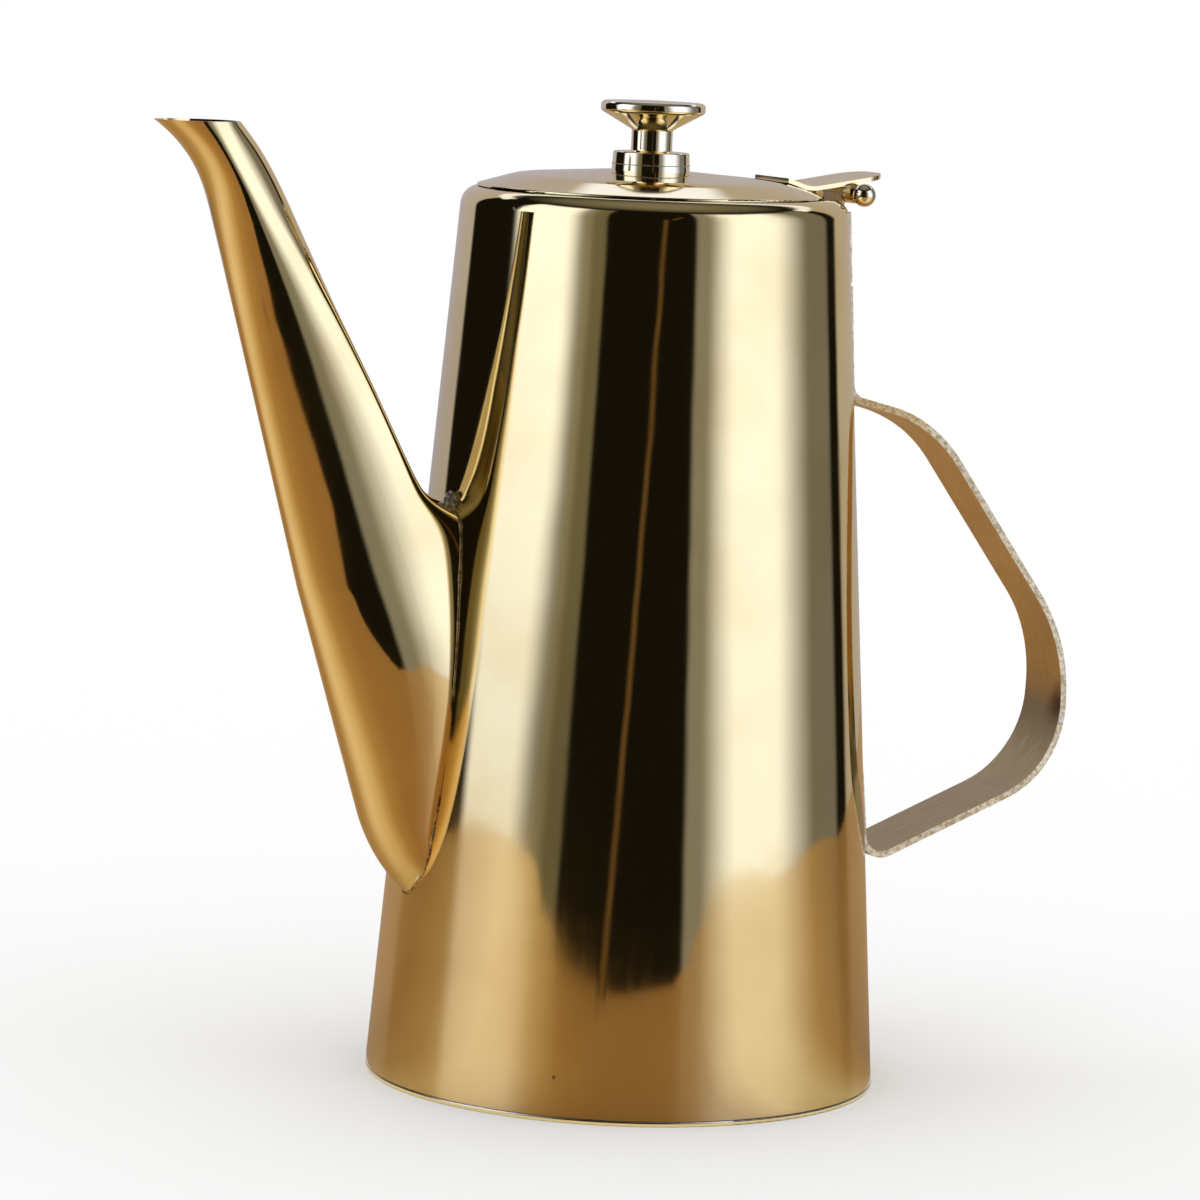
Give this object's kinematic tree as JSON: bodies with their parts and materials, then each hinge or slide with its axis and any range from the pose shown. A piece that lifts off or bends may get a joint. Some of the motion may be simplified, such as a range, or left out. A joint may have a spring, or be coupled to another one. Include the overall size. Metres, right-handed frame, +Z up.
{
  "type": "long-spout coffee pot",
  "caption": "Gold-finished metal coffee pot with a tapered body, long welded spout, bent strap handle and a hinged domed lid with a turned knob.",
  "frame": {"origin": "centre of the flat ring that the pot stands on", "axes": "+Z up along the body's axis, +X towards the handle and hinge, -X towards the spout, +Y across"},
  "size_m": [0.2285, 0.1154, 0.2208],
  "materials": {
    "polished_gold": "gold-coloured coating on polished stainless steel",
    "satin_gold": "gold-coloured coating on satin stainless steel",
    "inner_steel": "plain stainless steel"
  },
  "bodies": {
    "pot": {"body_shell": "polished_gold", "base_plate": "polished_gold", "spout": "polished_gold", "handle_strap": "satin_gold", "hinge_body_leaf": "satin_gold", "hinge_pin": "polished_gold"},
    "lid": {"hinge_lid_leaf": "polished_gold", "lid_dome": "polished_gold", "lid_skirt": "inner_steel", "knob": "polished_gold", "knob_screw": "inner_steel", "screw_flat_washer": "inner_steel", "screw_spring_washer": "inner_steel"}
  },
  "joints": [
    {"name": "lid_hinge", "type": "hinge", "parent": "pot", "child": "lid", "pos_m": [0.047, 0, 0.2011], "axis": [0, 1, 0], "range_deg": [0, 115]}
  ]
}
